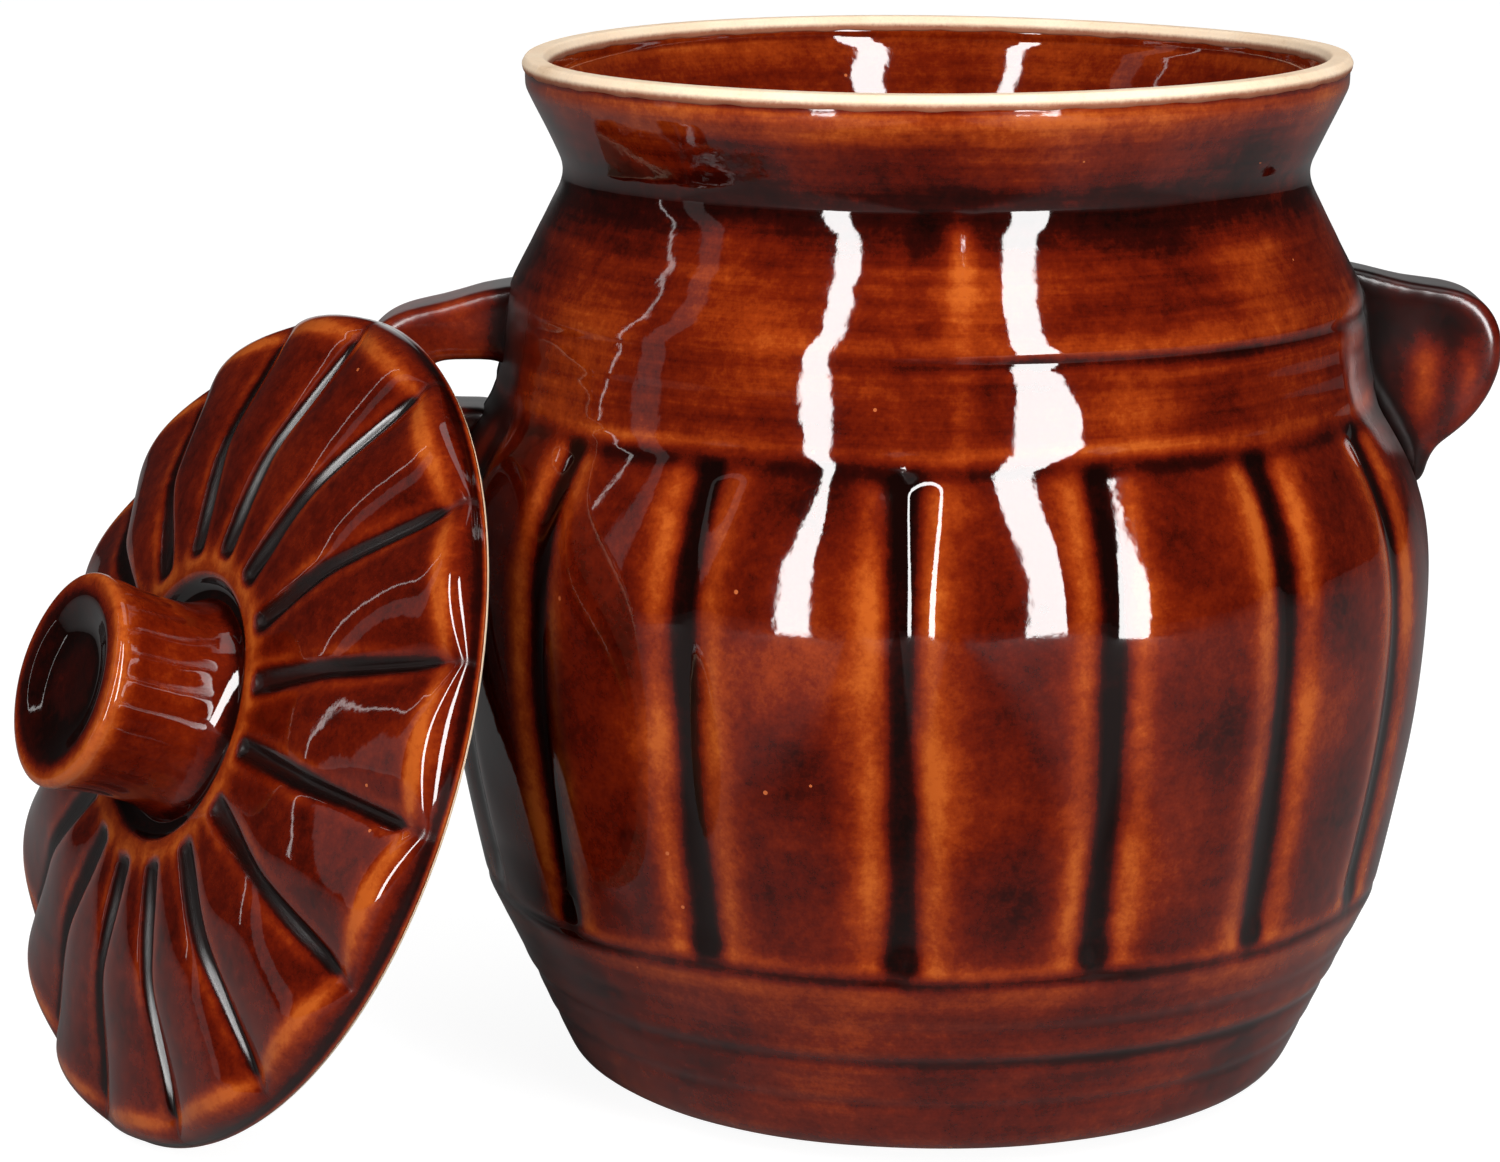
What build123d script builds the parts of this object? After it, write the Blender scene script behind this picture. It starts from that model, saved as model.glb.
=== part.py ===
# Glazed stoneware pickle crock with two ears, and its fluted lid leaning against one ear.
# Millimetres. The origin is the middle of the foot on the ground, +Z is up, and the front is -Y.
import os
from math import cos, radians, sin, sqrt

from build123d import *

os.makedirs("parts", exist_ok=True)

# Crock, each zone's height, from the ground up
foot_height = 1.6
heel_rise = 4.0
hoop_rise = 41.4
stave_length = 106.7
band_foot_rise = 5.3
band_rise = 16.0
neck_rise = 24.5
collar_rise = 19.5
lip_rise = 3.8
lip_bead = 2.2
belly_share = 0.553
stave_shoulder_share = 0.815

# Crock, the belly's radius and how far each height is drawn in from it
belly_radius = 107.0
foot_draw = 47.0
heel_draw = 28.5
hoop_draw = 8.7
stave_shoulder_draw = 2.8
stave_top_draw = 12.2
band_foot_draw = 13.4
band_top_draw = 15.2
neck_draw = 27.6
lip_draw = 19.2

# Crock, wall and rounding
wall = 6.0
lip_wall = 5.0
floor_thickness = 8.0
lip_rounding = 1.0
heel_rounding = 9.0
neck_rounding = 8.0
band_rounding = 14.0
collar_rounding = 4.0
inner_rounding = 12.0
stave_step = 1.1
step_rise = 1.6

# Staves and turned lines
stave_count = 16
first_groove_angle = -5.0
groove_round = 3.4
groove_depth = 2.3
groove_end_gap = 5.5
line_round = 1.5
line_depth = 1.0
shoulder_line_rise = 12.0
hoop_line_rise = 20.9

# Ears, heights from their middle and reaches from the foot of the band
ear_width = 20.0
ear_rounding = 4.5
ear_root_rise = 23.3
ear_tip_rise = 6.3
ear_chin_drop = 12.2
ear_chin_reach = 15.9
ear_root_drop = 21.7
right_ear_reach = 27.4
right_ear_crown_reach = 15.4
right_ear_crown_rise = 19.1
left_ear_reach = 29.0
left_ear_crown_reach = 12.4
left_ear_crown_rise = 16.8
ear_hole_height = 9.6
ear_hole_reach = 19.0
ear_hole_rise = 0.7
dimple_round = 9.0
dimple_depth = 2.2
dimple_drop = 1.7
dimple_reach = 15.4

# Lid, radii from its edge or its hub
lid_overhang = 2.4
roll_inset = 1.8
dome_inset = 30.2
seat_inset = 0.6
hub_width = 2.5
moat_slope = 2.0
moat_width = 2.9

# Lid, heights from its seat up
seat_thickness = 1.2
skirt_rise = 4.0
roll_rise = 3.4
dome_rise = 9.8
hub_rise = 2.2
moat_depth = 3.1
flute_count = 16
flute_round = 2.8
flute_hub_depth = 2.2
flute_dome_depth = 3.4
flute_edge_depth = 2.2
first_flute_angle = 87.6

# Lid, knob, from its foot up
knob_foot_radius = 23.6
knob_waist_draw = 3.2
knob_rim_draw = 0.6
knob_crest_draw = 2.2
knob_waist_rise = 13.5
knob_rim_rise = 12.6
knob_crest_rise = 2.4
dish_draw = 6.6
dish_depth = 7.0
dish_lip_drop = 4.7

# Lid, underside
lid_thickness = 5.6
locating_depth = 8.0
locating_wall = 5.5
locating_play = 7.0
locating_rounding = 1.5
ceiling_inset = 25.0
ceiling_drop = 2.4

# Lid, how it leans: the way its top faces, and where its seat meets the ear's tip
lean_azimuth = 59.3
lean_rise = 20.3
lean_gap = 1.75
lean_aside = 8.8
lean_tip_share = 0.5
lean_contact_inset = 8.24


def along(start, end, height):
    """Radius at a height on the straight line between two (radius, height) points."""
    share = (height - start[1]) / (end[1] - start[1])
    return start[0] + share * (end[0] - start[0])


# Corners of the outer wall, as (radius, height)
foot_radius = belly_radius - foot_draw
heel = (belly_radius - heel_draw, foot_height + heel_rise)
hoop_edge = (belly_radius - hoop_draw, heel[1] + hoop_rise)
belly = (belly_radius, hoop_edge[1] + belly_share * stave_length)
stave_shoulder = (belly_radius - stave_shoulder_draw, hoop_edge[1] + stave_shoulder_share * stave_length)
band_edge = (belly_radius - stave_top_draw, hoop_edge[1] + stave_length)
band_foot = (belly_radius - band_foot_draw, band_edge[1] + band_foot_rise)
band_top = (belly_radius - band_top_draw, band_foot[1] + band_rise)
neck = (belly_radius - neck_draw, band_top[1] + neck_rise)
collar = (belly_radius - lip_draw, neck[1] + collar_rise)
lip = (collar[0], collar[1] + lip_rise)
stave_low = (hoop_edge[0] - stave_step, hoop_edge[1] + step_rise)
stave_end = (band_edge[0] - stave_step, band_edge[1] - step_rise)
stave_points = [stave_low, belly, stave_shoulder, stave_end]
mouth_radius = lip[0] - lip_wall
crock_height = lip[1] + lip_bead
floor_height = foot_height + floor_thickness

with BuildPart() as solid_crock:
    with BuildSketch(Plane.XZ):
        with BuildLine():
            Line((0, foot_height), (foot_radius, foot_height))
            FilletPolyline((foot_radius, foot_height), heel, hoop_edge, radius=heel_rounding)
            Line(hoop_edge, stave_low)
            Spline(*stave_points)
            Line(stave_end, band_edge)
            FilletPolyline(
                band_edge, band_foot, band_top, neck, collar, lip,
                radius=[band_rounding, band_rounding, neck_rounding, collar_rounding],
            )
            Polyline(lip, (0, lip[1]), (0, foot_height))
        make_face()
    revolve(axis=Axis.Z)

# Hollow of the crock, one wall inside the outer outline
inner_heel = (along(heel, hoop_edge, floor_height) - wall, floor_height)
inner_hoop = (hoop_edge[0] - wall, hoop_edge[1])
inner_belly = (belly[0] - wall, belly[1])
inner_shoulder = (stave_shoulder[0] - wall, stave_shoulder[1])
inner_band = (band_foot[0] - wall, band_foot[1])
inner_top = (band_top[0] - wall, band_top[1])
inner_neck = (neck[0] - wall, neck[1])
inner_collar = (mouth_radius, collar[1])
mouth = (mouth_radius, crock_height)

with BuildPart() as hollow:
    with BuildSketch(Plane.XZ):
        with BuildLine():
            FilletPolyline((0, floor_height), inner_heel, inner_hoop, radius=inner_rounding)
            Spline(inner_hoop, inner_belly, inner_shoulder, inner_band)
            FilletPolyline(
                inner_band, inner_top, inner_neck, inner_collar, mouth,
                radius=[band_rounding, neck_rounding + wall, collar_rounding],
            )
            Polyline(mouth, (0, crock_height), (0, floor_height))
        make_face()
    revolve(axis=Axis.Z)

# One groove between two staves, a rounded channel down the wall
with BuildPart() as stave_groove:
    with BuildLine():
        full_line = Spline(*[(radius, 0, height) for radius, height in stave_points], mode=Mode.PRIVATE)
        end_share = groove_end_gap / full_line.length
        middle_shares = (0.3, 0.6, 0.85)
        groove_points = [full_line @ share for share in (end_share, *middle_shares, 1 - end_share / 2)]
        lift = Vector(groove_round - groove_depth, 0, 0)
        groove_line = Spline(*[point + lift for point in groove_points])
    with BuildSketch(Plane(origin=groove_line @ 0, z_dir=groove_line % 0)):
        Circle(groove_round)
    sweep()
    with Locations(groove_line @ 0, groove_line @ 1):
        Sphere(groove_round)

shoulder_line_height = band_foot[1] + shoulder_line_rise
shoulder_line = (along(band_foot, band_top, shoulder_line_height) + line_round - line_depth, shoulder_line_height)
hoop_line_height = heel[1] + hoop_line_rise
hoop_line = (along(heel, hoop_edge, hoop_line_height) + line_round - line_depth, hoop_line_height)

with BuildPart() as pot_body:
    add(solid_crock.part)
    add(hollow.part, mode=Mode.SUBTRACT)
    with PolarLocations(0, stave_count, start_angle=first_groove_angle):
        add(stave_groove.part, mode=Mode.SUBTRACT)
    with BuildSketch(Plane.XZ):
        with Locations(shoulder_line, hoop_line):
            Circle(line_round)
    revolve(axis=Axis.Z, mode=Mode.SUBTRACT)

# Bare clay bead round the mouth
with BuildPart() as lip_ring:
    with BuildSketch(Plane.XY.offset(lip[1])):
        Circle(lip[0])
        Circle(mouth_radius, mode=Mode.SUBTRACT)
    extrude(amount=lip_bead)
    fillet(lip_ring.faces().sort_by(Axis.Z)[-1].edges(), lip_rounding)

# Flat unglazed foot that the crock stands on
with BuildPart() as foot:
    with BuildSketch():
        Circle(foot_radius)
    extrude(amount=foot_height)


# The ears sit where the left one's tip meets the seat of the lid that leans on it
lid_radius = lip[0] + lid_overhang
contact_radius = lid_radius - lean_contact_inset
lid_climb = sqrt(contact_radius**2 - lean_aside**2)
lid_centre_z = lid_radius * cos(radians(lean_rise)) - seat_thickness * sin(radians(lean_rise))
ear_tip_z = lid_centre_z + lid_climb * cos(radians(lean_rise)) - lean_gap * sin(radians(lean_rise))
ear_height = ear_tip_z - ear_tip_rise


def ear(side, reach, crown_reach, crown_rise):
    """One rounded ear, standing out from the shoulder on the +X side (1) or the -X side (-1)."""
    root = side * (band_top[0] - wall)
    deep_root = side * (neck[0] - wall)
    base_radius, base_height = band_foot[0], ear_height
    with BuildPart() as blank:
        with BuildSketch(Plane.XZ.offset(-ear_width / 2)):
            with BuildLine():
                outline = Spline(
                    (root, base_height + ear_root_rise),
                    (side * (base_radius + crown_reach), base_height + crown_rise),
                    (side * (base_radius + reach), base_height + ear_tip_rise),
                    (side * (base_radius + ear_chin_reach), base_height - ear_chin_drop),
                    (root, base_height - ear_root_drop),
                )
                Line(outline @ 1, outline @ 0)
            make_face()
        extrude(amount=ear_width)
        fillet(blank.edges().filter_by(GeomType.BSPLINE), ear_rounding)
        with BuildSketch(Plane.XZ.offset(-ear_width / 2)):
            with BuildLine():
                Polyline(
                    (root, base_height + ear_root_rise),
                    (root, base_height - ear_root_drop),
                    (deep_root, base_height - ear_root_drop),
                    (deep_root, base_height + ear_root_rise),
                    close=True,
                )
            make_face()
        extrude(amount=ear_width)
        add(solid_crock.part, mode=Mode.SUBTRACT)
    return blank.part


hole_height = ear_height + ear_hole_rise
hole_middle = band_foot[0] + (ear_hole_reach - ear_hole_height) / 2

with BuildPart() as handle_left:
    add(ear(-1, left_ear_reach, left_ear_crown_reach, left_ear_crown_rise))
    with BuildSketch(Plane.XZ.offset(-ear_width)):
        with Locations((-hole_middle, hole_height)):
            SlotCenterToCenter(ear_hole_reach, ear_hole_height)
    extrude(amount=2 * ear_width, mode=Mode.SUBTRACT)

with BuildPart() as handle_right:
    add(ear(1, right_ear_reach, right_ear_crown_reach, right_ear_crown_rise))
    sink = ear_width / 2 + dimple_round - dimple_depth
    dimple = (band_foot[0] + dimple_reach, ear_height - dimple_drop)
    with Locations((dimple[0], -sink, dimple[1]), (dimple[0], sink, dimple[1])):
        Sphere(dimple_round, mode=Mode.SUBTRACT)

# Lid, radii from its axis and heights from its seat
roll_radius = lid_radius - roll_inset
dome_radius = lid_radius - dome_inset
moat_radius = knob_foot_radius + moat_width
hub_crest_radius = moat_radius + moat_slope
hub_radius = hub_crest_radius + hub_width
skirt_height = seat_thickness + skirt_rise
roll_height = skirt_height + roll_rise
dome_height = roll_height + dome_rise
hub_height = dome_height + hub_rise
moat_height = hub_height - moat_depth
locating_radius = mouth_radius - locating_play
ceiling_edge = locating_radius - locating_wall
ceiling_radius = ceiling_edge - ceiling_inset
ceiling_height = moat_height - lid_thickness

# The lid leans with the edge of its plate on the ground and its underside on the left ear's tip
facing = Vector(
    -sin(radians(lean_azimuth)) * cos(radians(lean_rise)),
    -cos(radians(lean_azimuth)) * cos(radians(lean_rise)),
    sin(radians(lean_rise)),
)
across = Vector(0, 0, 1).cross(facing).normalized()
upward = facing.cross(across)
ear_tip = Vector(-(band_foot[0] + left_ear_reach), -lean_tip_share * ear_width, ear_tip_z)
lid_centre = ear_tip + across * lean_aside - upward * lid_climb + facing * lean_gap
lean = Plane(origin=lid_centre, x_dir=across, z_dir=facing)
lid_section = Plane(origin=lean.origin, x_dir=lean.x_dir, z_dir=-lean.y_dir)
lid_axis = Axis(lean.origin, lean.z_dir)

# One flute, a rounded channel from the hub to the lid's edge
with BuildPart() as flute:
    with BuildLine(Plane.XZ):
        flute_line = ThreePointArc(
            (hub_radius + flute_round, dome_height - flute_hub_depth + flute_round),
            (dome_radius, dome_height - flute_dome_depth + flute_round),
            (lid_radius, roll_height - flute_edge_depth + flute_round),
        )
    with BuildSketch(Plane(origin=flute_line @ 0, z_dir=flute_line % 0)):
        Circle(flute_round)
    sweep()
    with Locations(flute_line @ 0, flute_line @ 1):
        Sphere(flute_round)

with BuildPart(lean) as lid_plate:
    with BuildSketch(lid_section):
        with BuildLine():
            Polyline(
                (0, ceiling_height),
                (0, moat_height),
                (moat_radius, moat_height),
                (hub_crest_radius, hub_height),
                (hub_radius, hub_height),
            )
            Spline(
                (hub_radius, hub_height),
                (dome_radius, dome_height),
                (roll_radius, roll_height),
                (lid_radius, skirt_height),
                tangents=[(1, 0), (0, -1)],
            )
            Polyline(
                (lid_radius, skirt_height),
                (lid_radius, seat_thickness),
                (ceiling_edge, seat_thickness),
            )
            Spline(
                (ceiling_edge, seat_thickness),
                (ceiling_radius, ceiling_height - ceiling_drop),
                (0, ceiling_height),
            )
        make_face()
    revolve(axis=lid_axis)
    with PolarLocations(0, flute_count, start_angle=first_flute_angle):
        add(flute.part, mode=Mode.SUBTRACT)

# Bare clay ring on which the lid sits
with BuildPart(lean) as lid_seat_ring:
    with BuildSketch(lean):
        Circle(lid_radius - seat_inset)
        Circle(locating_radius, mode=Mode.SUBTRACT)
    extrude(amount=seat_thickness)

# Collar under the lid that keeps it centred in the mouth
with BuildPart(lean) as lid_locating_ring:
    with BuildSketch(lean.offset(-locating_depth)):
        Circle(locating_radius)
        Circle(ceiling_edge, mode=Mode.SUBTRACT)
    extrude(amount=locating_depth + seat_thickness)
    fillet(lid_locating_ring.faces().sort_by(lid_axis)[0].edges(), locating_rounding)

# Waisted knob with a dished top
waist_height = moat_height + knob_waist_rise
rim_height = waist_height + knob_rim_rise
crest_height = rim_height + knob_crest_rise

with BuildPart(lean) as lid_knob:
    with BuildSketch(lid_section):
        with BuildLine():
            knob_side = Spline(
                (knob_foot_radius, moat_height),
                (knob_foot_radius - knob_waist_draw, waist_height),
                (knob_foot_radius - knob_rim_draw, rim_height),
                (knob_foot_radius - knob_crest_draw, crest_height),
                (knob_foot_radius - dish_draw, crest_height - dish_lip_drop),
                (0, crest_height - dish_depth),
            )
            Polyline(knob_side @ 1, (0, moat_height), knob_side @ 0)
        make_face()
    revolve(axis=lid_axis)

pieces = {
    "pot_body": pot_body,
    "lip_ring": lip_ring,
    "foot": foot,
    "handle_left": handle_left,
    "handle_right": handle_right,
    "lid_plate": lid_plate,
    "lid_seat_ring": lid_seat_ring,
    "lid_locating_ring": lid_locating_ring,
    "lid_knob": lid_knob,
}
for name, piece in pieces.items():
    piece.part.label = name
    export_step(piece.part, f"parts/{name}.step")
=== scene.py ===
from math import cos, pi, radians, sin, tan

import bmesh
import bpy
import numpy as np
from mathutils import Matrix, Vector


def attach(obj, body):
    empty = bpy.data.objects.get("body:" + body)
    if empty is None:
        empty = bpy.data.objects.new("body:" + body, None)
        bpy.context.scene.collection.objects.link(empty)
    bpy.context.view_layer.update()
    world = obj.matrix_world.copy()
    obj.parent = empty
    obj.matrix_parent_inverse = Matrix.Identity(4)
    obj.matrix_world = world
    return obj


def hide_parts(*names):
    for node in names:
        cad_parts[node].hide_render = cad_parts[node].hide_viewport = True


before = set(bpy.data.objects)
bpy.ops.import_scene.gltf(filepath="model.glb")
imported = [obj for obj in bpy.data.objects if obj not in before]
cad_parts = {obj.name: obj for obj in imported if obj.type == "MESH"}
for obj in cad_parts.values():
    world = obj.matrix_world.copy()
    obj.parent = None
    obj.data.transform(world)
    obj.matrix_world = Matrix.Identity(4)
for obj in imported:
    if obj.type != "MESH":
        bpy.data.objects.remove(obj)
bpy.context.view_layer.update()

# Sizes are in millimetres, as in the part's source, and MM turns them into metres
MM = 0.001
# Length of a wave that doesn't change with height
LEVEL = 1e9

# Camera, at the photograph's viewing angle
CAMERA_PLACE = (-39.6, -979.1, 315.7)
CAMERA_PITCH_DOWN = 11.91
CAMERA_FOCAL = 110.26
CAMERA_SENSOR = 36.0

# Strip lights as (name, azimuth, width, lower edge, upper edge, brightness), with angles in degrees
STRIPS = [
    ("strip_left", -32, 7, -5, 58, 17),
    ("strip_right", 24.5, 12, -5, 58, 17),
    ("window_left", -79, 8, -5, 50, 0.3),
    ("slit_left", -92, 0.9, 0, 48, 3.5),
]
# Lights and floor, with lengths in metres
STRIP_DISTANCE = 1.5
STRIP_BASE = 0.11
TOP_LIGHT_PLACE = (0.5, 0.3, 1.8)
TOP_LIGHT_SIZE = 0.9
TOP_LIGHT_BRIGHTNESS = 1.2
TOP_LIGHT_AIM = (0, 0, 0.1)
FLOOR_SIZE = 6
FLOOR_DROP = 0.0002
ROOM_FILL = 0.33

# Glaze textures as (features a metre, detail, roughness), and how far they shift the glaze depth
CLOUD, CLOUD_SHIFT = (26, 3, 0.5), 0.34
PATCH, PATCH_SHIFT = (75, 3, 0.6), 0.42
MOTTLE, MOTTLE_SHIFT = (330, 4, 0.65), 0.40
GRAIN, GRAIN_SHIFT = (1100, 3, 0.7), 0.26
STREAKS, STREAK_SHIFT = (1.0, 4, 0.6), 0.6
STREAK_STRETCH = (16, 16, 330)
SKIN = (210, 2, 0.5)
SPECKS_PER_METRE = 95.0
SPECK_SIZE = 0.045
GLAZE_ROUGHNESS = 0.015
GLAZE_IOR = 1.6
CLAY_CLOUD = (45, 3, 0.6)
CLAY_GRAIN = (900, 4, 0.75)
CLAY_ROUGHNESS = 0.75

# Glaze colours from thin to pooled, and clay colours from dark to pale
GLAZE_COLOURS = [
    (0.0, (0.40, 0.078, 0.010)), (0.2, (0.24, 0.028, 0.003)), (0.4, (0.128, 0.0090, 0.0013)),
    (0.55, (0.078, 0.0043, 0.0009)), (0.74, (0.022, 0.0013, 0.0005)), (1.0, (0.0045, 0.0006, 0.0003)),
]
SPECK_COLOUR = (0.42, 0.10, 0.03, 1.0)
CLAY_COLOURS = [(0.3, (0.64, 0.43, 0.26)), (0.5, (0.82, 0.62, 0.43)), (0.75, (0.88, 0.72, 0.54))]
STAIN_COLOUR = (0.24, 0.045, 0.008, 1.0)
FLOOR_COLOURS = [(0.0, (0.05, 0.05, 0.05)), (1.0, (0.24, 0.24, 0.24))]

# Glaze depth of each piece, from 0 for thin to 1 for pooled: its level, what a hollow adds for each
# millimetre below the points close by, and what it adds for each below those further out
CROCK_TONE = (0.43, 0.12, 0.08)
RING_TONE = (0.48, 0.5, 0.15)
LID_TONE = (0.60, 0.25, 0.15)
KNOB_TONE = (0.47, 0.5, 0.2)
PIERCED_EAR_TONE = (0.56, 0.16, 0.12)
CLOSED_EAR_TONE = (0.72, 0.16, 0.12)

# Foot, corners as (radius, height, rounding)
FOOT_RADIUS = 60.0
FOOT_HEIGHT = 1.6
FOOT_CORNERS = [
    (0, 0.3, 0), (50, 0.3, 2), (53, 0, 0.6), (59.2, 0, 1.0),
    (FOOT_RADIUS, FOOT_HEIGHT, 0.3), (0, FOOT_HEIGHT, 0),
]
FOOT_STEP = 1.0
FOOT_COLUMNS = 256

# Crock, outer corners as (radius, height, rounding)
BASE_CORNERS = [(0, FOOT_HEIGHT, 0), (FOOT_RADIUS, FOOT_HEIGHT, 1.0), (78.5, 5.6, 9.0), (98.3, 47.0, 0)]
STAVE_POINTS = [(98.3, 47.0), (107.95, 106.0), (105.3, 134.0), (94.8, 153.7)]
TOP_CORNERS = [
    (94.8, 153.7, 0), (93.6, 159.0, 14.0), (91.8, 175.0, 14.0), (79.4, 199.5, 9.0),
    (87.6, 218.4, 5.0), (87.7, 222.8, 0.4), (82.9, 222.8, 0.4), (82.8, 219.0, 4.0),
    (73.4, 199.5, 14.0), (85.8, 175.0, 14.0), (87.6, 159.0, 0),
]
INNER_POINTS = [(87.6, 159.0), (98.2, 134.0), (101.0, 106.0), (92.3, 47.0)]
FLOOR_CORNERS = [(92.3, 47.0, 0), (74.4, 9.6, 12.0), (0, 9.6, 0)]
CROCK_STEP = 0.85
CROCK_COLUMNS = 768
BELLY_RADIUS = 100.0
SHOULDER_RADIUS = 95.0

# Crock, heights between which a band of its wall starts or ends
FOOT_EDGE = (3.0, 8.0)
HOOP_EDGE = (30, 46)
COLLAR = (211, 218)
COLLAR_RISE = (200, 218)
DIPPING_LIP = (205, 221)
MOUTH = (212, 222)
LIP_EDGE = (220.6, 222.0)

# Crock, relief cut into that outline
STAVES = 16
FIRST_GROOVE = -5.0
GROOVE_DEPTH = 1.6
GROOVE_SLOPE = 0.23
GROOVE_BOTTOM = 1.8
GROOVE_SOFTNESS = 1.2
GROOVE_ENDS = (8.5, 5.0)
END_STEEPNESS = (0.9, 2.3)
LEDGE = 0.4
LEDGE_NICK = 0.3
RISE_OVER_GROOVE = 0.4
RELIEF_DEPTH = 0.1
WALL_DEPTH = 0.45
# How far the grooves differ by chance in depth and in slope
GROOVE_SPREAD = (0.2, 0.03)
GROOVE_SEED = 7
# Grooves at the front as number: (depth, slope of the left wall, slope of the right wall)
FRONT_GROOVES = {0: (2.4, 0.25, 0.42), 1: (1.6, 0.25, 0.15)}
# Grooves at the left stand this much further left, round this place and within this reach, in degrees
GROOVE_SWING = (2.4, -36, 24)

# Crock, turned lines as (height, depth, width, steady share, share that fades round the crock)
SHOULDER_LINE = 171.0
HOOP_LINE = 26.5
TURNED_LINES = [
    (SHOULDER_LINE, 0.5, 1.2, 0, 1), (SHOULDER_LINE - 7.0, 0.12, 1.2, 1, -0.6),
    (HOOP_LINE, 0.45, 1.4, 0.8, 0.2), (HOOP_LINE + 9.0, 0.25, 1.3, 0, 1), (HOOP_LINE - 10.0, 0.25, 1.2, 1, 0),
]
# Fine ripples as (length, size, seed)
RIPPLES = [(5.3, 0.008, 3), (8.9, 0.018, 4), (14.0, 0.03, 5)]
SEAM_ANGLE = 3.6

# Crock, how much deeper (dark) or thinner (thin) the glaze is; painted shade on the collar and round the
# ears' roots, and a darkening towards the bottom, are marked below
GROOVE_DARK = 0.62
GROOVE_THIN = 0.26
STAVE_DARK = 0.14
LEDGE_TONE = 0.34
DOT_DARK = 0.5
BLOTCH_TONE = 0.11
# Makes the wall darker towards the bottom, below the hoop
HOOP_DARK = 0.08
NECK_HEIGHT = 198
# Darkens the neck's hollow as pooled glaze, and the collar above it, which faces downward, as painted shade
NECK_POOL_AND_COLLAR_SHADE = 0.30
COLLAR_THIN = 0.12
LIP_DARK = 0.45
FOOT_THIN = 0.3
MOUTH_THIN = 0.26
SEAM_THIN = 0.22
SEAM_DARK = 0.16
# Dark lines as (height, amount, width)
DARK_LINES = [(SHOULDER_LINE, 0.3, 1.3), (HOOP_LINE, 0.25, 1.4)]
# Ear roots on the wall: height, half width, half height and rounding, then the reach of the painted shade at
# each side
ROOT_PLACE = (154, 6, 17, 5)
ROOT_SHADE_REACH = {-1: 22.0, 1: 11.0}
ROOT_SHADE = 0.42
ROOT_MATT = 0.4
ROOT_MATT_REACH = 24.0

# Bare lip, corners as (radius, height, rounding)
LIP_CORNERS = [
    (85.3, 221.6, 0), (87.4, 221.6, 0.3), (87.9, 222.3, 0.3), (88.1, 223.4, 0.8), (87.3, 224.85, 0.9),
    (83.5, 224.9, 0.9), (82.6, 223.2, 0.8), (82.7, 221.6, 0.3), (85.3, 221.6, 0),
]
LIP_STEP = 0.35
LIP_COLUMNS = 512
LIP_DIP = 1.1
LIP_DEPTH = 0.1
LIP_STAIN = 1.1

# Lid, its place and the way it faces
LID_CENTRE = (-143.827, -32.838, 84.181)
LID_AZIMUTH = 59.3
LID_RISE = 20.3
# Lid, its section as corners or as points of a curve
LID_UNDER = [
    (0, 11.9, 0), (45.3, 9.5, 30.0), (70.3, 1.2, 4.0), (88.6, 1.2, 0.2), (89.9, 0.7, 0.4),
    (90.0, 3.4, 0),
]
LID_ROLL = [
    (90.0, 3.4), (89.6, 6.0), (88.1, 8.7), (85.2, 10.7),
    (80.8, 12.3), (60.0, 18.4), (44.0, 20.3), (31.0, 20.7),
]
LID_HUB = [(31.0, 20.6, 0), (28.6, 20.5, 1.6), (26.6, 17.5, 1.2), (0, 17.5, 0)]
LID_STEP = 0.8
LID_COLUMNS = 768
LID_DEPTH = 0.3
PETALS = 16
FIRST_VALLEY = 87.6
VALLEY_HALF = 2.7
PETAL_CROWN = 1.3
VALLEY_FLOOR = 1.3
VALLEY_SLOPE = 0.72
VALLEY_MATT = 0.26
VALLEY_DARK = 0.62
PETAL_THIN = 0.16
HUB_THIN = 0.34
ROLL_THIN = 0.50
SCALLOP = 4.4
# Height at which the scallops start, and over which they grow to their full depth
SCALLOP_RISE = (3.6, 7.1)

# Lid, rings under it and its knob, corners as (radius, height, rounding)
SEAT_CORNERS = [
    (82, 0.05, 0), (89.3, 0.05, 0.5), (89.4, 1.3, 0.2), (76.0, 1.3, 0.3), (76.0, 0.05, 0.3), (82, 0.05, 0),
]
SEAT_STEP = 0.6
COLLAR_CORNERS = [
    (73, -8.0, 0), (75.8, -8.0, 1.8), (75.8, 1.6, 0.3), (70.3, 1.6, 0.3), (70.3, -8.0, 1.8), (73, -8.0, 0),
]
COLLAR_STEP = 0.7
RING_COLUMNS = 320
KNOB_BASE = [(0, 17.0), (23.0, 17.0)]
KNOB_POINTS = [(24.4, 17.3), (22.6, 21.5), (21.9, 29.0), (22.3, 36.0), (23.0, 41.0)]
KNOB_TOP = [(23.0, 41.0, 0), (23.5, 46.5, 4.2), (17.5, 46.4, 6.0), (11.0, 44.0, 12.0), (0, 43.6, 0)]
KNOB_STEP = 0.5
KNOB_COLUMNS = 288
KNOB_DEPTH = 0.2

# Ears, outlines as (radius, height) points from the upper root to the lower one
EAR_WIDTH = 20.0
RIGHT_EAR = [
    (93.0, 177.4), (102.0, 175.2), (111.0, 173.8), (116.9, 171.0), (120.1, 165.6),
    (120.5, 159.4), (117.6, 151.2), (112.0, 144.4), (106.8, 139.8), (104.8, 133.5),
]
LEFT_EAR = [
    (97.0, 173.5), (106.5, 170.8), (117.5, 167.2), (122.6, 159.8),
    (118.5, 149.0), (109.6, 141.4), (105.6, 133.5),
]
# Slot through the left ear: radius and height of its middle, length between its round ends, and their radius
EAR_HOLE = (99.8, 154.0, 9.4, 5.7)
EAR_ROOT_DEPTH = 3.6
EAR_ROOT_OVERRUN = 1.5
EAR_VOXEL = 0.75
EAR_SMOOTHING = 26
# What smoothing takes off an ear, put back
EAR_GROWTH = 0.5
# The closed ear gets wider outward: the radius at which it keeps its width, and what each millimetre adds
EAR_SWELL = (111.0, 0.09)
# Roughness added on an ear's sides and on its top
EAR_MATT = (0.14, 0.26)
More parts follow.
